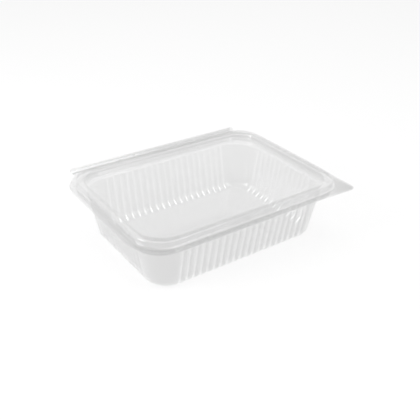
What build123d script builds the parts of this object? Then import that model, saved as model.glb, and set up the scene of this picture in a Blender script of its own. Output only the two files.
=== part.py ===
from build123d import *
from math import asin, atan, cos, degrees, radians, sin, sqrt, tan
import os

# A clear hinged food pack, closed and standing on its base.
# It is thermoformed from one thin sheet: a fluted tray and a lid, joined along the back by a curled web.
# X runs along the hinge, +Y points to the hinge, +Z is up, and the origin is the middle of the underside.
# A plan outline is a rounded rectangle, and each half size below is measured from the origin.

# Sheet and fits
sheet = 0.5
seal_gap = 0.6
web_gap = 0.15
overrun = 3.0

# Heights
total_height = 54.0
ring_height = 4.7
shoulder_height = 5.35

# Ring that stands up around the lid
ring_half_length = 94.2
ring_half_width = 69.7
ring_corner = 23.3
ring_crown = 6.0
ring_inner_corner = 22.0
ring_flare = 0.5
crown_chamfer = 0.8

# Flange of both halves, and the square corner that is pulled to open the pack
flange_reach = 6.5
flange_corner = 34.0
tab_length = 41.0
tab_hollow = 0.9
tab_rise = 0.6
tab_tip = 4.5

# Tray wall, and the facets that round it into the base
wall_step = 5.4
wall_corner = 27.8
wall_draft = 10.7
shoulder_flare = 0.3
base_radius = 8.1
base_facets = 4

# Flutes, pressed into the wall and into the upper facets of the base rounding
flute_pitch = 6.5
flute_depth = 1.4
flute_sides = 4
fluted_facets = 2
long_side_flutes = 17
short_side_flutes = 11
crest_relief = 0.05
end_slope_share = 0.8

# Curled web of the hinge
web_half_length = 86.0
web_radius = 2.95
tray_curl_end = 50.0
open_clearance = 5.0

# Levels
lid_top = total_height - ring_height
lid_underside = lid_top - sheet
tray_top = lid_underside - seal_gap
tray_underside = tray_top - sheet
ledge = tray_top - shoulder_height
wall_top = ledge - sheet

# Plan sizes
flange_half_length = ring_half_length + flange_reach
flange_half_width = ring_half_width + flange_reach
wall_centre_x = ring_half_length - wall_step - wall_corner
wall_centre_y = ring_half_width - wall_step - wall_corner

# Rounding between wall and base: the turn of one facet, and how far its centre lies from a corner centre
facet_turn = (90 - wall_draft) / base_facets
draft_slope = tan(radians(wall_draft))
bend_reach = wall_corner - wall_top * draft_slope - base_radius * (1 / cos(radians(wall_draft)) - draft_slope)

# Hinge axis, midway between the two flanges
hinge_y = flange_half_width + web_radius
hinge_z = (lid_underside + tray_top) / 2
tray_web_radius = web_radius - sheet - web_gap

# Where the lid's curl ends, so that it stays clear of the tray's flange when the lid lies fully open
lid_curl_end = degrees(asin((seal_gap / 2 + sheet) / (web_radius - sheet / 2))) + open_clearance


def outline(half_length, half_width, corner, level):
    """Rounded rectangle about the origin at one level."""
    with BuildSketch(Plane.XY.offset(level)) as drawn:
        RectangleRounded(2 * half_length, 2 * half_width, corner)
    return drawn.sketch


def drafted(drawn, height, flare):
    """Solid over an outline that grows by flare on every side over its height."""
    with BuildPart() as solid:
        add(drawn)
        extrude(amount=height, taper=-degrees(atan(flare / height)))
    return solid.part


def wall_profile(inset):
    """Reach beyond the corner centres and level of each edge of the wall's skin, from the base up to the wall."""
    radius = base_radius - inset
    corner_radius = radius / cos(radians(facet_turn / 2))
    profile = []
    for index in range(base_facets):
        turn = radians((index + 0.5) * facet_turn)
        profile.append((bend_reach + corner_radius * sin(turn), base_radius - corner_radius * cos(turn)))
    return profile


def wall_body(inset, top):
    """Solid inside the smooth skin of the wall: the outer skin for no inset, the inner one for one sheet."""
    profile = wall_profile(inset)
    reach, level = profile[-1]
    profile.append((reach + (top - level) * draft_slope, top))
    with BuildPart() as body:
        for (reach, level), (next_reach, next_level) in zip(profile, profile[1:]):
            section = outline(wall_centre_x + reach, wall_centre_y + reach, reach, level)
            add(drafted(section, next_level - level, next_reach - reach))
    return body.part


def flange_plate(level, web_reach):
    """Flat rim and panel of one half, with its pull tab and the straight back edge of the hinge."""
    tab_start_y = -flange_half_width + tab_length
    tab_start_x = flange_half_length - tab_length
    tip_x = flange_half_length + tab_rise
    tip_y = -flange_half_width - tab_rise
    with BuildPart() as plate:
        with BuildSketch(Plane.XY.offset(level)):
            RectangleRounded(2 * flange_half_length, 2 * flange_half_width, flange_corner)
            with BuildLine():
                side = ThreePointArc(
                    (flange_half_length, tab_start_y),
                    (flange_half_length - tab_hollow, (tab_start_y + tip_y) / 2),
                    (tip_x, tip_y + tab_tip),
                )
                tip = RadiusArc(side @ 1, (tip_x - tab_tip, tip_y), tab_tip)
                front = Line(tip @ 1, (tab_start_x, -flange_half_width))
                Polyline(front @ 1, (0, 0), side @ 0)
            make_face()
            with Locations((0, web_reach / 2)):
                Rectangle(2 * web_half_length, web_reach)
        extrude(amount=sheet)
    return plate.part


def web_curl(radius, start, sweep_angle):
    """One half of the folded web: an arc of sheet about the hinge axis."""
    centre = (hinge_y, hinge_z)
    with BuildPart() as curl:
        with BuildSketch(Plane.YZ):
            with BuildLine():
                outer = CenterArc(centre, radius + sheet / 2, start, sweep_angle)
                inner = CenterArc(centre, radius - sheet / 2, start, sweep_angle)
                Line(outer @ 0, inner @ 0)
                Line(outer @ 1, inner @ 1)
            make_face()
        extrude(amount=web_half_length, both=True)
    return curl.part


def flute_section(plane, count, inset):
    """Section of the air between the flutes of one wall: local x along the wall, local y outward."""
    half_pitch = flute_pitch / 2
    flute_radius = (half_pitch**2 + flute_depth**2) / (2 * flute_depth)
    radius = flute_radius - inset
    arc_centre = -crest_relief - flute_radius
    half_turn = asin(half_pitch / radius)
    points = []
    for index in range(count):
        middle = (index + 0.5) * flute_pitch - count * half_pitch
        for side in range(flute_sides):
            turn = half_turn * (2 * side / flute_sides - 1)
            points.append((middle + radius * sin(turn), arc_centre + radius * cos(turn)))
    cusp = arc_centre + sqrt(radius**2 - half_pitch**2)
    run = count * half_pitch
    edge = run + (overrun - cusp) * end_slope_share
    with BuildSketch(plane) as section:
        with BuildLine():
            Polyline(*points, (run, cusp), (edge, overrun), (-edge, overrun), close=True)
        make_face()
    return section.sketch


def flute_cutter(count, centre_half, inset):
    """What is taken from the +Y wall to leave its flutes: one straight run along the wall and each fluted facet."""
    bend_y = centre_half + bend_reach
    lap = flute_depth + overrun
    with BuildPart() as cutter:
        for index in range(fluted_facets + 1):
            lean = radians(wall_draft + index * facet_turn)
            foot = (0, bend_y + base_radius * cos(lean), base_radius - base_radius * sin(lean))
            run_plane = Plane(origin=foot, x_dir=(1, 0, 0), z_dir=(0, sin(lean), cos(lean)))
            section = flute_section(run_plane, count, inset)
            length = (wall_top - base_radius) / cos(lean) + lap if index == 0 else lap
            extrude(section, amount=length, dir=run_plane.z_dir)
            extrude(section, amount=lap, dir=-run_plane.z_dir)
    return cutter.part


def fluted_body(inset, top):
    """Solid inside the tray wall's skin with its flutes."""
    long_cutter = flute_cutter(long_side_flutes, wall_centre_y, inset)
    short_cutter = flute_cutter(short_side_flutes, wall_centre_x, inset).rotate(Axis.Z, -90)
    with BuildPart() as body:
        add(wall_body(inset, top))
        add(long_cutter, mode=Mode.SUBTRACT)
        add(mirror(long_cutter, about=Plane.XZ), mode=Mode.SUBTRACT)
        add(short_cutter, mode=Mode.SUBTRACT)
        add(mirror(short_cutter, about=Plane.YZ), mode=Mode.SUBTRACT)
    return body.part


def shoulder_body(inset, bottom):
    """Solid inside the smooth band between the flutes and the flange."""
    height = tray_top - bottom
    section = outline(ring_half_length - inset, ring_half_width - inset, ring_corner - inset, bottom)
    return drafted(section, height, shoulder_flare)


def ring_body(inset, bottom):
    """Solid of the lid's raised ring, or with an inset of one sheet the channel underneath it."""
    height = total_height - inset - bottom
    outer_grow = ring_flare - inset
    inner_grow = inset - ring_crown - ring_flare
    outer = outline(
        ring_half_length + outer_grow,
        ring_half_width + outer_grow,
        ring_corner + outer_grow,
        bottom,
    )
    recess = outline(
        ring_half_length + inner_grow,
        ring_half_width + inner_grow,
        ring_inner_corner + inset - ring_flare,
        bottom,
    )
    with BuildPart() as body:
        add(drafted(outer, height, -ring_flare))
        add(drafted(recess, height, ring_flare), mode=Mode.SUBTRACT)
        chamfer(body.faces().sort_by(Axis.Z)[-1].edges(), crown_chamfer)
    return body.part


# Tray
tray_curl_start = 180 + degrees(asin((seal_gap + sheet) / 2 / tray_web_radius))
with BuildPart() as tray:
    add(fluted_body(0, wall_top))
    add(shoulder_body(0, wall_top))
    add(flange_plate(tray_underside, hinge_y - tray_web_radius))
    add(web_curl(tray_web_radius, tray_curl_start, 360 + tray_curl_end - tray_curl_start))
    add(fluted_body(sheet, ledge), mode=Mode.SUBTRACT)
    add(shoulder_body(sheet, ledge), mode=Mode.SUBTRACT)
tray.part.label = "tray"

# Lid
lid_curl_start = 180 - degrees(asin((seal_gap + sheet) / 2 / web_radius))
with BuildPart() as lid:
    add(flange_plate(lid_underside, hinge_y - web_radius))
    add(ring_body(0, lid_top))
    add(web_curl(web_radius, lid_curl_end, lid_curl_start - lid_curl_end))
    add(ring_body(sheet, lid_underside), mode=Mode.SUBTRACT)
lid.part.label = "lid"

os.makedirs("parts", exist_ok=True)
export_step(tray.part, "parts/tray.step")
export_step(lid.part, "parts/lid.step")
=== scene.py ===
import math

import bmesh
import bpy
from mathutils import Matrix, Vector


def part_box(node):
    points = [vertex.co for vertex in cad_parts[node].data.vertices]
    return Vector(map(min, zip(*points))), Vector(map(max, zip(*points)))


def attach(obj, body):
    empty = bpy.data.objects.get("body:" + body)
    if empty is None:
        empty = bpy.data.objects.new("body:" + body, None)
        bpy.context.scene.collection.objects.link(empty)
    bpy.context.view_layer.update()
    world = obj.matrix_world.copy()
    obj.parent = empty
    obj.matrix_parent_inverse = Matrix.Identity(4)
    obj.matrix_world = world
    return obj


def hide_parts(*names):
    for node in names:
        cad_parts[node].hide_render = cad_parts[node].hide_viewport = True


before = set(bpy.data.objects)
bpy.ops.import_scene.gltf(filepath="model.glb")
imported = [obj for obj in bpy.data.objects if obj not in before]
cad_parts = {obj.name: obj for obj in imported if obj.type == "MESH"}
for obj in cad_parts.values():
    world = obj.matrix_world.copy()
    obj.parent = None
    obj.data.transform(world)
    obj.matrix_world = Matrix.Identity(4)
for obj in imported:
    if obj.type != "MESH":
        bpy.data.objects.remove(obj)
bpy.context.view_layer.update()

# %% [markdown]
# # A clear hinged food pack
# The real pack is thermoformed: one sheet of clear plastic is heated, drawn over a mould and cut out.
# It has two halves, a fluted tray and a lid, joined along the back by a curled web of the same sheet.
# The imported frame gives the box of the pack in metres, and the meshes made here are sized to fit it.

MM = 0.001
lid_box = [Vector(corner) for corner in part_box("lid")]

# %% [markdown]
# ## Camera
# The photograph looks down at the near left corner from a little over half a metre away.
# A camera is three things: where it stands, which way it looks, and how long its lens is.
# It could be placed by hand. Here two angles set a direction and the camera steps back along it,
# because angles are easy to adjust.

# %% Camera
view_azimuth = math.radians(35.2)
view_elevation = math.radians(30.23)
view_roll = math.radians(0.87)
view_distance = 549.16 * MM
view_shift_right = 5.06 * MM
view_shift_up = 18.5 * MM
lens_length = 53.25
sensor_width = 36

forward = Vector((
    math.sin(view_azimuth) * math.cos(view_elevation),
    math.cos(view_azimuth) * math.cos(view_elevation),
    -math.sin(view_elevation),
))
level_right = Vector((math.cos(view_azimuth), -math.sin(view_azimuth), 0))
level_up = level_right.cross(forward)
camera_right = math.cos(view_roll) * level_right + math.sin(view_roll) * level_up
camera_up = math.cos(view_roll) * level_up - math.sin(view_roll) * level_right
camera_place = view_shift_right * camera_right + view_shift_up * camera_up - view_distance * forward

camera_data = bpy.data.cameras.new("camera")
camera_data.lens = lens_length
camera_data.sensor_width = sensor_width
camera = bpy.data.objects.new("camera", camera_data)
bpy.context.scene.collection.objects.link(camera)
turn = Matrix((camera_right, camera_up, -forward)).transposed()
camera.matrix_world = Matrix.Translation(camera_place) @ turn.to_4x4()
bpy.context.scene.camera = camera
print("camera stands at, mm:", [round(value / MM) for value in camera_place])

# %% [markdown]
# ## Sizes of the pack
# Both halves follow the same plan: a rectangle with round corners, larger or smaller at each level.
# One row of the mesh is such a rectangle: the centres of its corners, their radius, and a level.
# The half sizes of the flange are stated and the rings inside it are worked out from them.
# The levels are worked out downwards from the top of the lid, which is read from the frame.

# %% Sizes
sheet = 0.5 * MM
seal_gap = 0.6 * MM
flange_reach = 6.5 * MM
flange_half_length = 100.7 * MM
flange_half_width = 76.2 * MM
flange_corner = 34 * MM
ring_half_length = flange_half_length - flange_reach
ring_half_width = flange_half_width - flange_reach
ring_corner = 23.3 * MM
ring_crown = 6 * MM
ring_inner_corner = 22 * MM
ring_flare = 0.5 * MM
ring_height = 4.7 * MM
wall_draft = math.radians(10.7)
wall_corner = 27.8 * MM
wall_step = 5.4 * MM
shoulder_height = 5.35 * MM
shoulder_flare = 0.3 * MM
base_radius = 8.1 * MM

total_height = lid_box[1].z
lid_top = total_height - ring_height
lid_underside = lid_top - sheet
tray_top = lid_underside - seal_gap
tray_underside = tray_top - sheet
wall_top = tray_top - shoulder_height - sheet
wall_centre_x = ring_half_length - wall_step - wall_corner
wall_centre_y = ring_half_width - wall_step - wall_corner
bend_reach = (
    wall_corner
    - wall_top * math.tan(wall_draft)
    - base_radius * (1 / math.cos(wall_draft) - math.tan(wall_draft))
)
print("radius of the wall's corners, mm:", round(bend_reach / MM, 2), "to", round(wall_corner / MM, 2))

# %% [markdown]
# ## Columns: stations around the plan
# A column is one station around the rounded rectangle. On a side it keeps its share of the side's length.
# On a corner it keeps its angle. The same columns serve every level, so the rows line up into clean quads.
# They could be spaced evenly, but then a tight fold would be blurred. So the stations of the tray's walls
# stand close together at each cusp, where two flutes meet.

# %% Stations on the sides
flute_pitch = 6.42 * MM
flute_depth = 1.5 * MM
end_slope_share = 2.2
flutes_on = {"long": 19, "short": 11}
flute_stop_shares = (0, 0.04, 0.1, 0.2, 0.34, 0.5, 0.66, 0.8, 0.9, 0.96)


def flute_stations(count, half):
    """Distances along a wall from its middle, several to each flute and a few on the slopes at the ends."""
    run = count * flute_pitch / 2
    stops = [(index + share) * flute_pitch - run for index in range(count) for share in flute_stop_shares]
    slope_end = run + flute_depth * end_slope_share
    stations = [-slope_end, -(run + slope_end) / 2] + stops + [run, (run + slope_end) / 2, slope_end]
    return [along for along in stations if abs(along) < half]


def even_stations(half, count):
    """Evenly spaced distances along a side from its middle, without the ends, which the corners have."""
    return [half * (2 * (index + 1) / (count + 1) - 1) for index in range(count)]


long_stations = flute_stations(flutes_on["long"], wall_centre_x)
short_stations = flute_stations(flutes_on["short"], wall_centre_y)
print("stations on a long and a short wall:", len(long_stations), len(short_stations))

# %% Angles round a corner
near_end_share = 0.014
strip_half_length = 86 * MM
tab_tip = 4.5 * MM


def corner_angles(steps, strip, tab):
    """Angles from 0 to 90 degrees round a corner, one at each bend of the hinge strip or the tab's tip."""
    bends = []
    if strip:
        reach = strip_half_length - (flange_half_length - flange_corner)
        bends = [math.atan2(flange_corner, reach), math.acos(reach / flange_corner)]
    if tab:
        tip_start = math.atan2(flange_corner - tab_tip, flange_corner)
        bends = [tip_start, math.pi / 4, math.pi / 2 - tip_start]
    whole = math.pi / 2
    inner = [whole * index / steps for index in range(1, steps)]
    angles = [0, whole * near_end_share] + inner + [whole * (1 - near_end_share), whole]
    for bend in bends:
        nearest = min(range(2, len(angles) - 2), key=lambda index: abs(angles[index] - bend))
        angles[nearest] = bend
    return angles


plain_corner = corner_angles(4, False, False)
print("a plain corner in 4 steps, degrees:", [round(math.degrees(angle), 1) for angle in plain_corner])

# %% All columns
tray_corner_steps = 24
lid_corner_steps = 32
lid_long_stations = 30
lid_short_stations = 20


def plan_columns(long_stations, short_stations, corner_steps):
    """Every column, anticlockwise from above: share along x and y, normal, distance along, and flutes."""
    columns = []
    sides = (
        ((1, 0), short_stations, wall_centre_y, flutes_on["short"]),
        ((0, 1), long_stations, wall_centre_x, flutes_on["long"]),
        ((-1, 0), short_stations, wall_centre_y, flutes_on["short"]),
        ((0, -1), long_stations, wall_centre_x, flutes_on["long"]),
    )
    for quarter, (normal, stations, half, flutes) in enumerate(sides):
        forward_x, forward_y = -normal[1], normal[0]
        for along in stations:
            share = along / half
            columns.append((
                normal[0] + forward_x * share,
                normal[1] + forward_y * share,
                normal,
                along,
                flutes,
            ))
        strip = quarter in (0, 1)
        tab = quarter == 3
        angles = corner_angles(corner_steps, strip, tab)
        if quarter == 1:
            angles = [math.pi / 2 - angle for angle in reversed(angles)]
        corner_x = 1 if quarter in (0, 3) else -1
        corner_y = 1 if quarter in (0, 1) else -1
        next_half, next_flutes = sides[(quarter + 1) % 4][2:]
        for angle in angles:
            around = quarter * math.pi / 2 + angle
            along = half + wall_corner * angle
            count = flutes
            if angle > math.pi / 4:
                along = next_half + wall_corner * (math.pi / 2 - angle)
                count = next_flutes
            columns.append((corner_x, corner_y, (math.cos(around), math.sin(around)), along, count))
    return columns


tray_columns = plan_columns(long_stations, short_stations, tray_corner_steps)
lid_columns = plan_columns(
    even_stations(wall_centre_x, lid_long_stations),
    even_stations(wall_centre_y, lid_short_stations),
    lid_corner_steps,
)
print("columns around the tray and the lid:", len(tray_columns), len(lid_columns))

# %% [markdown]
# ## Rows: levels of the section
# A row is one level of the section: half length, half width, corner radius and height, and how flutes are
# pressed there. Folds in a formed sheet are never sharp, because it is drawn over a rounded mould edge.
# A bevel could round them afterwards. Here each fold is an arc of a few rows, because its radius is then
# exact. Light catches on these arcs, and they draw the pack's bright and dark lines.

# %% Row helpers
no_press = (0, 0, 0, 1)


def row(outline, grow, level, press=no_press):
    """One row: an outline grown by some distance, a level, and the press of the flutes there."""
    half_length, half_width, corner = outline
    return (half_length + grow, half_width + grow, corner + grow, level, press)


def arc_rows(outline, grow, level, radius, start, end, steps, press=no_press):
    """Rows round a fold. The arc's centre is at the given grow and level, and its angles are in degrees."""
    rows = []
    for index in range(steps + 1):
        angle = math.radians(start + (end - start) * index / steps)
        rows.append(row(outline, grow + radius * math.cos(angle), level + radius * math.sin(angle), press))
    return rows


def flat_rows(outline, level, inner_grow):
    """Rows of a flat panel, from a line along its middle out to its outline."""
    half_length, half_width, corner = outline
    spine = (half_length - half_width, 0, 0)
    quarter = (half_length - half_width / 2, half_width / 2, corner / 2)
    return [row(spine, 0, level), row(quarter, 0, level), row(outline, inner_grow, level)]


# %% Rows of the tray
run_out = math.radians(35)
tip_reach = 1.2 * MM
toe_gain = 0.4
panel_margin = 4.8 * MM
ledge_fold = 0.7 * MM
ledge_steps = 5
flange_fold = 0.8 * MM
flange_steps = 6
wall_turn = math.pi / 2 - wall_draft

level_press = (-1 / math.cos(wall_draft), 0, base_radius, 1)
ledge_start = ledge_fold * (1 - math.sin(wall_draft)) / math.cos(wall_draft)
foot_outline = (wall_centre_x + bend_reach, wall_centre_y + bend_reach, bend_reach)
wall_outline = (wall_centre_x + wall_corner, wall_centre_y + wall_corner, wall_corner)
shoulder_outline = (ring_half_length, ring_half_width, ring_corner)


def floor_row(inward):
    """A row of the floor near the wall, where the tips of the flutes run out."""
    reach = base_radius - inward * math.tan(run_out)
    return row(foot_outline, -inward, 0, (0, 1, reach, math.cos(run_out)))


def bend_row(turn):
    """A row of the rounding between floor and wall, where the skin has turned up by this angle.

    Half way round the flutes are pressed in deepest, which gives them full round toes.
    """
    fade = math.cos(max(0, run_out - turn))
    gain = 1 + toe_gain * math.sin(math.pi * turn / wall_turn)
    press = (-math.sin(turn) * gain, math.cos(turn) * gain, base_radius, fade)
    return row(foot_outline, base_radius * math.sin(turn), base_radius * (1 - math.cos(turn)), press)


def wall_row(share):
    """A row of the drafted wall, from its foot at share 0 to its top at 1, where flutes go in level."""
    foot_level = base_radius * (1 - math.cos(wall_turn))
    level = foot_level + (wall_top - foot_level) * share
    lean = wall_draft * (1 - share)
    size = 1 / math.cos(wall_draft - lean)
    press = (-math.cos(lean) * size, math.sin(lean) * size, base_radius, 1)
    return row(wall_outline, (level - wall_top) * math.tan(wall_draft), level, press)


bend_steps = 14
wall_shares = (0.06, 0.25, 0.5, 0.75, 0.9, 0.97)
shoulder_middle = (wall_top + tray_underside) / 2
tray_rows = flat_rows(foot_outline, 0, -panel_margin)
tray_rows += [floor_row(2 * tip_reach), floor_row(tip_reach), floor_row(tip_reach / 2)]
tray_rows += [bend_row(wall_turn * index / bend_steps) for index in range(bend_steps + 1)]
tray_rows += [wall_row(share) for share in wall_shares]
wall_end = 180 - math.degrees(wall_draft)
level = wall_top - ledge_fold
tray_rows += arc_rows(wall_outline, ledge_start, level, ledge_fold, wall_end, 90, ledge_steps, level_press)
tray_rows += [row(wall_outline, wall_step / 2, wall_top)]
level = wall_top + ledge_fold
tray_rows += arc_rows(shoulder_outline, -ledge_fold, level, ledge_fold, 270, 360, ledge_steps)
tray_rows += [row(shoulder_outline, shoulder_flare / 2, shoulder_middle)]
level = tray_underside - flange_fold
grow = shoulder_flare + flange_fold
tray_rows += arc_rows(shoulder_outline, grow, level, flange_fold, 180, 90, flange_steps)
print("rows of the tray:", len(tray_rows))

# %% Rows of the lid
crown_radius = 1.3 * MM
crown_rise = 0.15 * MM
crown_steps = 8
side_lean = 4
recess_outline = (ring_half_length - ring_crown, ring_half_width - ring_crown, ring_inner_corner)
ring_outline = (ring_half_length, ring_half_width, ring_corner)
middle_outline = tuple((inner + outer) / 2 for inner, outer in zip(recess_outline, ring_outline))
crown_level = total_height - crown_rise - crown_radius

foot_level = lid_top + flange_fold
foot_grow = ring_flare + flange_fold
lid_rows = flat_rows(recess_outline, lid_top, -ring_flare - panel_margin)
lid_rows += arc_rows(recess_outline, -foot_grow, foot_level, flange_fold, 270, 360 - side_lean, flange_steps)
lid_rows += arc_rows(
    recess_outline, crown_radius, crown_level, crown_radius, 180 - side_lean, 90 + side_lean, crown_steps
)
lid_rows += [row(middle_outline, 0, total_height)]
lid_rows += arc_rows(
    ring_outline, -crown_radius, crown_level, crown_radius, 90 - side_lean, side_lean, crown_steps
)
lid_rows += arc_rows(ring_outline, foot_grow, foot_level, flange_fold, 180 + side_lean, 270, flange_steps)
print("rows of the lid:", len(lid_rows))

# %% [markdown]
# ## Flange edge, pull tab and hinge strip
# Outside the walls both halves end in a flange, cut to one outline, with all corners rounded but one.
# The front right corner is left square, so that a thumb can pull the halves apart. Its tip droops a little.
# At the back a strip runs straight to the hinge. The outline could be drawn as a curve and filled.
# Here it is a formula of the column's angle, because that keeps the flange's mesh in step with the walls.

# %% Edge of the flange
flange_centre_x = flange_half_length - flange_corner
flange_centre_y = flange_half_width - flange_corner
tab_length = 41 * MM
tab_hollow = 1.07 * MM
tab_rise = 0.6 * MM
tab_dip = 1.0 * MM
tab_dip_power = 1.5
wave_height = 0.1 * MM
wave_scale_x = 17 * MM
wave_scale_y = 13 * MM
least_cosine = 1e-6


def square_corner_reach(cosine, sine):
    """Distance from a corner's centre to a square corner with a rounded tip, in the direction given."""
    inner = flange_corner - tab_tip
    reach = flange_corner / max(cosine, sine)
    if min(cosine, sine) * reach > inner:
        middle = inner * (cosine + sine)
        reach = middle + math.sqrt(middle**2 - 2 * inner**2 + tab_tip**2)
    return reach


def edge_point(column):
    """Where the flange's cut edge is at this column."""
    share_x, share_y, (normal_x, normal_y), along, flutes = column
    x = share_x * flange_centre_x
    y = share_y * flange_centre_y
    cosine, sine = abs(normal_x), abs(normal_y)
    reach = flange_corner
    if share_x > 0 and normal_y < 0 < normal_x:
        reach = square_corner_reach(cosine, sine)
    if abs(share_x) == 1 and normal_y > 0:
        strip_reach = strip_half_length - flange_centre_x
        reach = max(reach, min(flange_corner / sine, strip_reach / max(cosine, least_cosine)))
    x += reach * normal_x
    y += reach * normal_y
    side_share = (tab_length - flange_half_width - y) / tab_length
    front_share = (x - flange_half_length + tab_length) / tab_length
    if side_share > 0 and x > flange_centre_x and normal_x > 0:
        bow = tab_rise * side_share**2 - 4 * tab_hollow * side_share * (1 - side_share)
        x += bow * min(1, cosine * math.sqrt(2))
    if front_share > 0 and y < -flange_centre_y and normal_y < 0:
        y -= tab_rise * min(front_share, 1) * min(1, sine * math.sqrt(2))
    return x, y


def flange_level(level, x, y, phase):
    """Level of the flange, a little wavy from its forming, with the pull tab bent down at its tip."""
    tip_distance = math.hypot(x - flange_half_length, y + flange_half_width)
    dip = tab_dip * max(0, 1 - tip_distance / tab_length) ** tab_dip_power
    wave = wave_height * math.sin(x / wave_scale_x + phase) * math.sin(y / wave_scale_y + phase)
    ring_distance = max(abs(x) - ring_half_length, abs(y) - ring_half_width, 0) / flange_reach
    return level + wave * min(ring_distance, 1) - dip


widest = max(edge_point(column)[0] for column in lid_columns)
print("flange reaches x =", round(widest / MM, 2), "mm, and the frame", round(lid_box[1].x / MM, 2), "mm")

# %% [markdown]
# ## From columns and rows to one formed sheet
# Crossing every column with every row gives a grid of quads: the outer face of the sheet, without flutes yet.
# Lofted surfaces could make it too, but a grid from two short lists keeps each size in one place.
# Along the back only, the grid goes on past the flange as the curl of the hinge.

# %% Points of a skin
far_along = 1.0
no_move = (0, 0, 0)
unpressed = (far_along, 0, 0, 1, 0, no_move)


def point_on(column, level_row):
    """Where a column meets a row."""
    share_x, share_y, (normal_x, normal_y), along, flutes = column
    half_length, half_width, corner, level, press = level_row
    centre_x, centre_y = half_length - corner, half_width - corner
    if abs(share_x) < 1:
        centre_x = min(centre_x, wall_centre_x)
    if abs(share_y) < 1:
        centre_y = min(centre_y, wall_centre_y)
    return share_x * centre_x + normal_x * corner, share_y * centre_y + normal_y * corner, level


def on_strip(column):
    """True where the flange's edge runs on into the hinge."""
    x, y = edge_point(column)
    near = sheet / 10
    return column[2][1] > 0 and y > flange_half_width - near and abs(x) < strip_half_length + near


def column_points(column, rows, flange_shares, flange_top, phase, curl):
    """The points of one column from the middle to the flange's edge, and what the flutes need at each.

    Each point keeps its distance along, its number of flutes, its reach and fade, its nearness to the tab's
    tip, and its press.
    """
    normal_x, normal_y = column[2]
    points, kept = [], []
    for level_row in rows:
        out, up, reach, fade = level_row[4]
        points.append(point_on(column, level_row))
        kept.append((column[3], column[4], reach, fade, 0, (out * normal_x, out * normal_y, up)))
    foot_x, foot_y, foot_level = points[-1]
    edge_x, edge_y = edge_point(column)
    if on_strip(column):
        edge_y = curl[0][0]
    for share in flange_shares:
        x = foot_x + (edge_x - foot_x) * share
        y = foot_y + (edge_y - foot_y) * share
        meets_curl = on_strip(column) and share == 1
        points.append((x, y, flange_top if meets_curl else flange_level(flange_top, x, y, phase)))
        tip_distance = math.hypot(x - flange_half_length, y + flange_half_width)
        kept.append(unpressed[:4] + (max(0, 1 - tip_distance / tab_length), no_move))
    return points, kept


# %% Quads of a skin
def grid_quads(count, height):
    """The quads between neighbouring columns, all the way round."""
    quads = []
    for station in range(count):
        here = station * height
        after = (station + 1) % count * height
        for level in range(height - 1):
            quads.append((here + level, after + level, after + level + 1, here + level + 1))
    return quads


def add_curl(points, quads, strip, curl):
    """Carries the edge points of the hinge strip on along the curl."""
    previous = strip
    for y, z in curl[1:]:
        new = list(range(len(points), len(points) + len(strip)))
        points += [(points[index][0], y, z) for index in previous]
        for place in range(len(strip) - 1):
            quads.append((previous[place], previous[place + 1], new[place + 1], new[place]))
        previous = new


# %% Mesh of a skin
def keep_on_points(mesh, kept):
    """Stores what the flutes need under a name for each value."""
    for place, name in enumerate(("along", "flutes", "reach", "fade", "tab_tip_nearness")):
        layer = mesh.attributes.new(name, "FLOAT", "POINT")
        layer.data.foreach_set("value", [float(values[place]) for values in kept])
    layer = mesh.attributes.new("press", "FLOAT_VECTOR", "POINT")
    layer.data.foreach_set("vector", [float(part) for values in kept for part in values[5]])


def skin_mesh(name, columns, rows, flange_shares, flange_top, phase, curl, faces_up):
    """The outer face of one half as a grid of quads, with what the flutes need kept on its points."""
    points, kept = [], []
    for column in columns:
        new_points, new_kept = column_points(column, rows, flange_shares, flange_top, phase, curl)
        points += new_points
        kept += new_kept
    height = len(rows) + len(flange_shares)
    quads = grid_quads(len(columns), height)
    strip = [index * height + height - 1 for index, column in enumerate(columns) if on_strip(column)]
    add_curl(points, quads, strip, curl)
    kept += [unpressed] * (len(points) - len(kept))
    if faces_up:
        quads = [quad[::-1] for quad in quads]
    mesh = bpy.data.meshes.new(name)
    mesh.from_pydata([Vector(point) for point in points], [], quads)
    keep_on_points(mesh, kept)
    shell = bmesh.new()
    shell.from_mesh(mesh)
    bmesh.ops.remove_doubles(shell, verts=shell.verts, dist=sheet / 1000)
    shell.to_mesh(mesh)
    shell.free()
    return mesh


# %% [markdown]
# ## Curl of the hinge
# On the real pack one web joins the halves, folded over into a small roll along the back.
# A curve with a bevel could make it. Here it is an arc of points about the hinge line, added to each skin.
# The halves have one arc each, the tray's inside the lid's, so that either can turn about that line.
# The lid's arc stops 22.2 degrees above level, so that it clears the tray's flange when the lid is open.
# The tray's goes on to 410 degrees, which is 50 degrees past a whole turn.

# %% Curl of the hinge
web_radius = 2.95 * MM
web_gap = 0.15 * MM
curl_step = 7
lid_stop = 22.2
tray_stop = 410
hinge_y = flange_half_width + web_radius
hinge_z = (lid_underside + tray_top) / 2
lid_curl_radius = web_radius + sheet / 2
tray_curl_radius = lid_curl_radius - sheet - web_gap


def curl_path(radius, start, end):
    """Points of the curl's outer face in the plane across the hinge, from where it leaves the flange."""
    steps = round(abs(end - start) / curl_step)
    angles = [math.radians(start + (end - start) * index / steps) for index in range(steps + 1)]
    return [(hinge_y + radius * math.cos(angle), hinge_z + radius * math.sin(angle)) for angle in angles]


tray_leave = 180 + math.degrees(math.asin((hinge_z - tray_underside) / tray_curl_radius))
lid_leave = 180 - math.degrees(math.asin((lid_top - hinge_z) / lid_curl_radius))
tray_curl = curl_path(tray_curl_radius, tray_leave, tray_stop)
lid_curl = curl_path(lid_curl_radius, lid_leave, lid_stop)
print("curls leave the flanges at", round(tray_leave, 1), "and", round(lid_leave, 1), "degrees")

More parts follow.
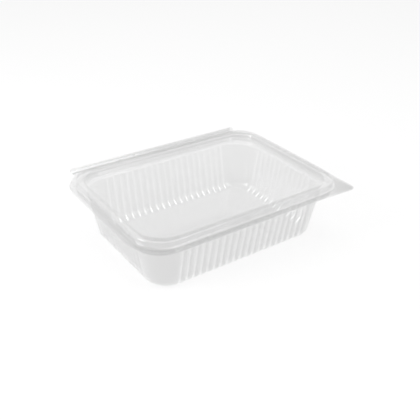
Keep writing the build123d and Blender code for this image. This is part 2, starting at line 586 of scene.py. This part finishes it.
# %% Smooth skins of both halves
flange_shares = (0.1, 0.35, 0.65, 0.9, 1)
tray_phase = 0.6
lid_phase = 2.1
tray_skin = skin_mesh(
    "tray_skin", tray_columns, tray_rows, flange_shares, tray_underside, tray_phase, tray_curl, False
)
lid_skin = skin_mesh("lid_skin", lid_columns, lid_rows, flange_shares, lid_top, lid_phase, lid_curl, True)
print("quads before the flutes:", len(tray_skin.polygons), len(lid_skin.polygons))

# %% [markdown]
# ## Clear sheet
# The plastic is a thin clear sheet whose two faces are parallel, so it hardly bends light:
# light goes straight through, a little is mirrored at each face, and a little is lost inside.
# Glass shading would bend it at every face and turn thin edges black. So the sheet is a straight pass, dimmed
# at each face, with a plastic shine added on top. More is lost where the sheet is seen at a slant and towards
# the tip of the pull tab, and upright faces get painted shade. A faint haze lies over the whole sheet,
# and the cusps of the flutes and their toes get a painted highlight.
# Light crosses many faces on its way through the pack, so a ray may pass more clear faces than usual.

# %% Node helpers
def new_tree(name, sockets):
    """An empty geometry node tree with named inputs, and its group input and output nodes."""
    tree = bpy.data.node_groups.new(name, "GeometryNodeTree")
    tree.interface.new_socket("Geometry", in_out="INPUT", socket_type="NodeSocketGeometry")
    for socket_name, socket_type in sockets:
        tree.interface.new_socket(socket_name, in_out="INPUT", socket_type=socket_type)
    tree.interface.new_socket("Geometry", in_out="OUTPUT", socket_type="NodeSocketGeometry")
    return tree, tree.nodes.new("NodeGroupInput"), tree.nodes.new("NodeGroupOutput")


def wire(tree, value, socket):
    """Joins an output to a socket, or sets the socket to a plain number."""
    if isinstance(value, bpy.types.NodeSocket):
        tree.links.new(value, socket)
    else:
        socket.default_value = value


def calculate(tree, operation, *values):
    """A math node of one operation, and its output."""
    node = tree.nodes.new("ShaderNodeMath")
    node.operation = operation
    for socket, value in zip(node.inputs, values):
        wire(tree, value, socket)
    return node.outputs[0]


def read_attribute(tree, name, kind):
    """The value that each point keeps under this name."""
    node = tree.nodes.new("GeometryNodeInputNamedAttribute")
    node.data_type = kind
    node.inputs["Name"].default_value = name
    return node.outputs["Attribute"]


# %% Unevenness and loss of light
slant_sharpness = 5.0


def noise_value(tree, coordinates, scale, low, high):
    """A noise on object coordinates, mapped to a range of values."""
    noise = tree.nodes.new("ShaderNodeTexNoise")
    noise.inputs["Scale"].default_value = scale
    noise.inputs["Detail"].default_value = 2
    wire(tree, coordinates, noise.inputs["Vector"])
    spread = tree.nodes.new("ShaderNodeMapRange")
    spread.inputs["To Min"].default_value = low
    spread.inputs["To Max"].default_value = high
    wire(tree, noise.outputs["Fac"], spread.inputs["Value"])
    return spread.outputs["Result"]


def dimming(tree, normal, face_loss, slant_loss, upright_shade, tab_tip_loss):
    """The share of light that one face of the sheet lets straight through, with painted shade on upright
    faces.
    """
    weight = tree.nodes.new("ShaderNodeLayerWeight")
    wire(tree, normal, weight.inputs["Normal"])
    slant = calculate(tree, "POWER", weight.outputs["Facing"], slant_sharpness)
    split = tree.nodes.new("ShaderNodeSeparateXYZ")
    wire(tree, tree.nodes.new("ShaderNodeTexCoord").outputs["Normal"], split.inputs[0])
    level = calculate(tree, "ABSOLUTE", split.outputs["Z"])
    # Upright faces lose more than level ones, by the height of their normal: this is painted shade.
    lost = calculate(tree, "MULTIPLY_ADD", slant, slant_loss, face_loss + upright_shade)
    lost = calculate(tree, "MULTIPLY_ADD", level, -upright_shade, lost)
    # More light is lost towards the tip of the pull tab.
    tab_tip_nearness = tree.nodes.new("ShaderNodeAttribute")
    tab_tip_nearness.attribute_name = "tab_tip_nearness"
    gain = calculate(tree, "MULTIPLY_ADD", tab_tip_nearness.outputs["Fac"], tab_tip_loss, 1.0)
    passed = calculate(tree, "SUBTRACT", 1.0, calculate(tree, "MULTIPLY", lost, gain))
    return calculate(tree, "MAXIMUM", passed, 0.0)


# %% Material of the sheet
sheet_ior = 1.5
bump_scale = 55
roughness_scale = 140
clear_faces = 32


def sheet_material(name, losses, haze, cusp_highlight_strength, low_roughness, high_roughness, bump_height):
    """Clear plastic sheet: a dimmed straight pass and a shine, with uneven roughness and a slow bump.

    The haze is one number for the whole sheet. Where a highlight strength is given, a painted highlight is
    added along each cusp.
    """
    material = bpy.data.materials.new(name)
    material.use_nodes = True
    tree = material.node_tree
    place = tree.nodes.new("ShaderNodeTexCoord").outputs["Object"]
    bump = tree.nodes.new("ShaderNodeBump")
    bump.inputs["Distance"].default_value = bump_height
    wire(tree, noise_value(tree, place, bump_scale, 0, 1), bump.inputs["Height"])
    shine = tree.nodes["Principled BSDF"]
    shine.inputs["Base Color"].default_value = (haze, haze, haze, 1)
    # A painted highlight along each cusp, brighter at the toes, is added to the haze.
    if cusp_highlight_strength:
        line = tree.nodes.new("ShaderNodeAttribute")
        line.attribute_name = "cusp_highlight"
        haze_and_highlight = calculate(tree, "MULTIPLY_ADD", line.outputs["Fac"], cusp_highlight_strength, haze)
        wire(tree, haze_and_highlight, shine.inputs["Base Color"])
    shine.inputs["IOR"].default_value = sheet_ior
    roughness = noise_value(tree, place, roughness_scale, low_roughness, high_roughness)
    wire(tree, roughness, shine.inputs["Roughness"])
    wire(tree, bump.outputs["Normal"], shine.inputs["Normal"])
    through = tree.nodes.new("ShaderNodeBsdfTransparent")
    wire(tree, dimming(tree, bump.outputs["Normal"], *losses), through.inputs["Color"])
    both = tree.nodes.new("ShaderNodeAddShader")
    wire(tree, through.outputs[0], both.inputs[0])
    wire(tree, shine.outputs[0], both.inputs[1])
    wire(tree, both.outputs[0], tree.nodes["Material Output"].inputs["Surface"])
    return material


formed_sheet = sheet_material(
    "formed_sheet",
    # Losses: at each face, at a slant, painted shade on upright faces, and towards the tab's tip.
    losses=(0.117, 0.75, 0.03, 0.5),
    haze=0.01,
    # strength of the painted highlight along each cusp
    cusp_highlight_strength=0.13,
    low_roughness=0.06,
    high_roughness=0.14,
    bump_height=0.05 * MM,
)
cut_edge = sheet_material(
    "cut_edge",
    losses=(0.12, 0.2, 0.0, 0.0),
    haze=0.08,
    cusp_highlight_strength=0.0,
    low_roughness=0.2,
    high_roughness=0.35,
    bump_height=0.02 * MM,
)
bpy.context.scene.cycles.transparent_max_bounces = clear_faces
print("materials:", formed_sheet.name, cut_edge.name)

# %% [markdown]
# ## Flutes
# The flutes are the pack's main feature: rows of half round ribs that stiffen thin walls.
# They could be cut with solids. But they repeat along each wall by one rule, so Geometry Nodes press them in,
# and one tree serves all four walls. It measures how far a point is from the nearest cusp, works out how deep
# the round flute is there, and keeps how near the cusp is, for the painted highlight along each cusp.
# On the base rounding the flutes end in round toes, because they run on while the skin turns away under them.
# The two softness inputs round the folds at the cusps and tips. The width and boost inputs set how wide the
# painted highlight along each cusp is, and how much brighter it is painted at the toes.

# %% Depth of a flute
flute_sizes = {
    "Flute Pitch": flute_pitch,
    "Flute Depth": flute_depth,
    "End Slope Share": end_slope_share,
    "Cusp Softness": 0.33 * MM,
    "Base Radius": base_radius,
    "Tip Softness": 0.3 * MM,
    # Width of the painted highlight along each cusp, and how much brighter it is painted at the toes.
    "Highlight Width": 0.38 * MM,
    "Toe Highlight Boost": 2.8,
}


def depth_of_flute(tree, sizes):
    """How deep the skin is pressed in at a point of the smooth wall, and how near the point is to a cusp."""
    along = calculate(tree, "ABSOLUTE", read_attribute(tree, "along", "FLOAT"))
    count = read_attribute(tree, "flutes", "FLOAT")
    half_pitch = calculate(tree, "MULTIPLY", sizes["Flute Pitch"], 0.5)
    run = calculate(tree, "MULTIPLY", count, half_pitch)
    within = calculate(tree, "MINIMUM", along, run)
    from_cusp = calculate(tree, "PINGPONG", calculate(tree, "SUBTRACT", run, within), half_pitch)
    softness_square = calculate(tree, "POWER", sizes["Cusp Softness"], 2.0)
    rounded = calculate(tree, "SQRT", calculate(tree, "MULTIPLY_ADD", from_cusp, from_cusp, softness_square))
    depth_square = calculate(tree, "POWER", sizes["Flute Depth"], 2.0)
    chord_square = calculate(tree, "MULTIPLY_ADD", half_pitch, half_pitch, depth_square)
    radius = calculate(tree, "DIVIDE", chord_square, calculate(tree, "MULTIPLY", sizes["Flute Depth"], 2.0))
    from_crest = calculate(tree, "MAXIMUM", calculate(tree, "SUBTRACT", half_pitch, rounded), 0.0)
    under_root = calculate(
        tree,
        "SUBTRACT",
        calculate(tree, "POWER", radius, 2.0),
        calculate(tree, "POWER", from_crest, 2.0),
    )
    scallop = calculate(tree, "SUBTRACT", radius, calculate(tree, "SQRT", under_root))
    past_end = calculate(tree, "SUBTRACT", along, within)
    climb = calculate(tree, "DIVIDE", past_end, sizes["End Slope Share"])
    depth = calculate(tree, "MAXIMUM", calculate(tree, "SUBTRACT", scallop, climb), 0.0)
    from_line = calculate(tree, "DIVIDE", calculate(tree, "ADD", from_cusp, past_end), sizes["Highlight Width"])
    line_square = calculate(tree, "POWER", from_line, 2.0)
    near = calculate(tree, "EXPONENT", calculate(tree, "MULTIPLY", line_square, -1.0))
    return depth, near


# %% Tree that presses the flutes
def flute_tree():
    """Moves the points of a smooth skin in, so that its walls become rows of round flutes."""
    sockets = [(name, "NodeSocketFloat") for name in flute_sizes] + [("Sheet Material", "NodeSocketMaterial")]
    tree, inputs, output = new_tree("flutes", sockets)
    sizes = {name: inputs.outputs[name] for name in flute_sizes}
    depth, near = depth_of_flute(tree, sizes)
    left = calculate(tree, "SUBTRACT", sizes["Base Radius"], depth)
    mould = calculate(tree, "DIVIDE", left, read_attribute(tree, "fade", "FLOAT"))
    sunk = calculate(tree, "SUBTRACT", read_attribute(tree, "reach", "FLOAT"), mould)
    pressed = calculate(tree, "SMOOTH_MAX", sunk, 0.0, sizes["Tip Softness"])
    move = tree.nodes.new("ShaderNodeVectorMath")
    move.operation = "SCALE"
    wire(tree, read_attribute(tree, "press", "FLOAT_VECTOR"), move.inputs[0])
    wire(tree, pressed, move.inputs["Scale"])
    share = calculate(tree, "MINIMUM", calculate(tree, "DIVIDE", pressed, sizes["Flute Depth"]), 1.0)
    # Stores a painted highlight along each cusp, brighter at the toes, for the material to whiten.
    keep = tree.nodes.new("GeometryNodeStoreNamedAttribute")
    keep.data_type = "FLOAT"
    keep.domain = "POINT"
    keep.inputs["Name"].default_value = "cusp_highlight"
    wire(tree, inputs.outputs["Geometry"], keep.inputs["Geometry"])
    turned = tree.nodes.new("ShaderNodeSeparateXYZ")
    wire(tree, read_attribute(tree, "press", "FLOAT_VECTOR"), turned.inputs[0])
    toe_highlight = calculate(tree, "MULTIPLY_ADD", turned.outputs["Z"], sizes["Toe Highlight Boost"], 1.0)
    line = calculate(tree, "MULTIPLY", near, share)
    wire(tree, calculate(tree, "MULTIPLY", line, toe_highlight), keep.inputs["Value"])
    place = tree.nodes.new("GeometryNodeSetPosition")
    wire(tree, keep.outputs["Geometry"], place.inputs["Geometry"])
    wire(tree, move.outputs[0], place.inputs["Offset"])
    realize = tree.nodes.new("GeometryNodeRealizeInstances")
    wire(tree, place.outputs[0], realize.inputs[0])
    paint = tree.nodes.new("GeometryNodeSetMaterial")
    wire(tree, realize.outputs[0], paint.inputs["Geometry"])
    wire(tree, inputs.outputs["Sheet Material"], paint.inputs["Material"])
    wire(tree, paint.outputs[0], output.inputs[0])
    return tree


press_flutes = flute_tree()
print("nodes that press the flutes:", len(press_flutes.nodes))

# %% [markdown]
# ## Thickness and the finished halves
# The skins have no thickness yet. Each could be copied inward by hand, but Solidify does it in one step:
# it gives the skin the thickness of the sheet, inward, so that the outer face stays where it is.
# The cut edge gets a second material, because a die leaves it slightly frosted, and its borders stay crisp.

# %% Inputs of the tree
def give_inputs(modifier, values):
    """Sets a geometry nodes modifier's inputs by their socket identifiers."""
    for item in modifier.node_group.interface.items_tree:
        if item.item_type == "SOCKET" and item.in_out == "INPUT" and item.name in values:
            modifier[item.identifier] = values[item.name]


# %% Finished halves
def finished_half(name, skin, flute_values=None):
    """The skin with its flutes and thickness as a plain mesh, with crisp borders along the cut edge."""
    blank = bpy.data.objects.new(name + "_blank", skin)
    bpy.context.scene.collection.objects.link(blank)
    skin.materials.append(formed_sheet)
    if flute_values:
        press = blank.modifiers.new("flutes", "NODES")
        press.node_group = press_flutes
        give_inputs(press, flute_values)
    skin.materials.append(cut_edge)
    wall = blank.modifiers.new("sheet", "SOLIDIFY")
    wall.thickness = sheet
    wall.offset = -1
    wall.use_even_offset = True
    wall.use_quality_normals = True
    wall.material_offset_rim = 1
    seen = blank.evaluated_get(bpy.context.evaluated_depsgraph_get())
    mesh = bpy.data.meshes.new_from_object(seen)
    bpy.data.objects.remove(blank)
    mesh.name = name
    finishes = [face.material_index for face in mesh.polygons]
    mesh.materials.clear()
    mesh.materials.append(formed_sheet)
    mesh.materials.append(cut_edge)
    mesh.polygons.foreach_set("material_index", finishes)
    shell = bmesh.new()
    shell.from_mesh(mesh)
    for face in shell.faces:
        face.smooth = True
    for edge in shell.edges:
        edge.smooth = len({face.material_index for face in edge.link_faces}) == 1
    shell.to_mesh(mesh)
    shell.free()
    for attribute in ("along", "flutes", "reach", "fade", "press"):
        mesh.attributes.remove(mesh.attributes[attribute])
    half = bpy.data.objects.new(name, mesh)
    bpy.context.scene.collection.objects.link(half)
    return half


tray_shell = finished_half("tray_shell", tray_skin, {**flute_sizes, "Sheet Material": formed_sheet})
lid_shell = finished_half("lid_shell", lid_skin)
for half in (tray_shell, lid_shell):
    half.data.calc_loop_triangles()
    print(half.name, "has", len(half.data.loop_triangles), "triangles")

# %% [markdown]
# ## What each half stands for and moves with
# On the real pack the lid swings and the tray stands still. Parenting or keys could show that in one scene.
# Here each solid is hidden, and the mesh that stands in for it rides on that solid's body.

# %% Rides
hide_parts("tray")
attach(tray_shell, "tray")
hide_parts("lid")
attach(lid_shell, "lid")
print(tray_shell.name, "rides on tray, and", lid_shell.name, "on lid")

# %% [markdown]
# ## Floor, light and background
# A clear thing has no colour of its own: it shows what is around it. So it gets a plain white surround.
# More light would whiten the surround too, but it would drown the pack. So it depends on the kind of ray:
# rays that show the surround straight on, mirrored or through the sheet see the world as plain white and the
# floor as three quarters plain white. The last quarter is lit paper, which takes a soft shadow.

# %% Floor
floor_size = 3.0
floor_drop = 0.2 * MM
paper_colour = (0.95, 0.95, 0.95, 1)
paper_roughness = 0.9
plain_white = (1, 1, 1, 1)
plain_share = 0.75

floor_mesh = bpy.data.meshes.new("floor")
floor_corners = [(-floor_size, -floor_size, 0), (floor_size, -floor_size, 0)]
floor_corners += [(floor_size, floor_size, 0), (-floor_size, floor_size, 0)]
floor_mesh.from_pydata(floor_corners, [], [(0, 1, 2, 3)])
floor = bpy.data.objects.new("floor", floor_mesh)
bpy.context.scene.collection.objects.link(floor)
floor.location.z = -floor_drop


def direct_rays(tree):
    """1 for rays that show a surface directly, in a mirror or through the sheet, and 0 for all others."""
    path = tree.nodes.new("ShaderNodeLightPath")
    seen = calculate(tree, "MAXIMUM", path.outputs["Is Camera Ray"], path.outputs["Is Glossy Ray"])
    return calculate(tree, "MAXIMUM", seen, path.outputs["Is Transmission Ray"])


def mix_shaders(tree, share, first, second, output):
    """Mixes two shaders, with this share of the second, and wires them to the output node."""
    mix = tree.nodes.new("ShaderNodeMixShader")
    wire(tree, share, mix.inputs[0])
    wire(tree, first.outputs[0], mix.inputs[1])
    wire(tree, second.outputs[0], mix.inputs[2])
    wire(tree, mix.outputs[0], output.inputs["Surface"])


floor_paint = bpy.data.materials.new("floor_paper")
floor_paint.use_nodes = True
floor_tree = floor_paint.node_tree
paper = floor_tree.nodes["Principled BSDF"]
paper.inputs["Base Color"].default_value = paper_colour
paper.inputs["Roughness"].default_value = paper_roughness
glow = floor_tree.nodes.new("ShaderNodeEmission")
glow.inputs["Color"].default_value = plain_white
glow.inputs["Strength"].default_value = 1
glow_share = calculate(floor_tree, "MULTIPLY", direct_rays(floor_tree), plain_share)
mix_shaders(floor_tree, glow_share, paper, glow, floor_tree.nodes["Material Output"])
floor_mesh.materials.append(floor_paint)
print("floor, m:", 2 * floor_size, "square, and", plain_share, "plain white to the eye")

# %% World
room_strength = 0.66

world = bpy.data.worlds.new("studio")
bpy.context.scene.world = world
world.use_nodes = True
world_tree = world.node_tree
room = world_tree.nodes["Background"]
room.inputs["Color"].default_value = plain_white
room.inputs["Strength"].default_value = room_strength
backdrop = world_tree.nodes.new("ShaderNodeBackground")
backdrop.inputs["Color"].default_value = plain_white
backdrop.inputs["Strength"].default_value = 1
mix_shaders(world_tree, direct_rays(world_tree), room, backdrop, world_tree.nodes["World Output"])
print("light from the room:", room_strength)

# %% [markdown]
# ## Lamps
# Three large soft lamps light the pack: one at the left, one above the back and one above the front right.
# Small lamps would give hard points of light. Large ones are mirrored in the folds as long soft lines,
# which is how a thin clear shape is read. Each is as bright as stated all over, whatever its size.

# %% Lamps
def soft_lamp(name, place, aim, width, height, radiance):
    """A rectangular soft lamp that looks at a point, as bright all over as the radiance given."""
    data = bpy.data.lights.new(name, "AREA")
    data.shape = "RECTANGLE"
    data.size = width
    data.size_y = height
    data.energy = radiance * math.pi * width * height
    lamp = bpy.data.objects.new(name, data)
    bpy.context.scene.collection.objects.link(lamp)
    lamp.location = place
    lamp.rotation_euler = (Vector(aim) - Vector(place)).to_track_quat("-Z", "Y").to_euler()
    return lamp


lamps = {
    "side_lamp": ((-0.85, 0.15, 0.42), (0, 0, 0.03), 0.45, 0.6, 7),
    "top_lamp": ((0.18, 0.38, 0.92), (0, 0, 0.03), 0.35, 0.3, 3),
    "front_lamp": ((0.27, -0.68, 0.75), (0, 0, 0.02), 0.35, 0.9, 3.4),
}
for lamp_name, settings in lamps.items():
    lamp = soft_lamp(lamp_name, *settings)
    print(lamp_name, "gives", round(lamp.data.energy, 2), "W")
bpy.context.scene.view_settings.view_transform = "Standard"
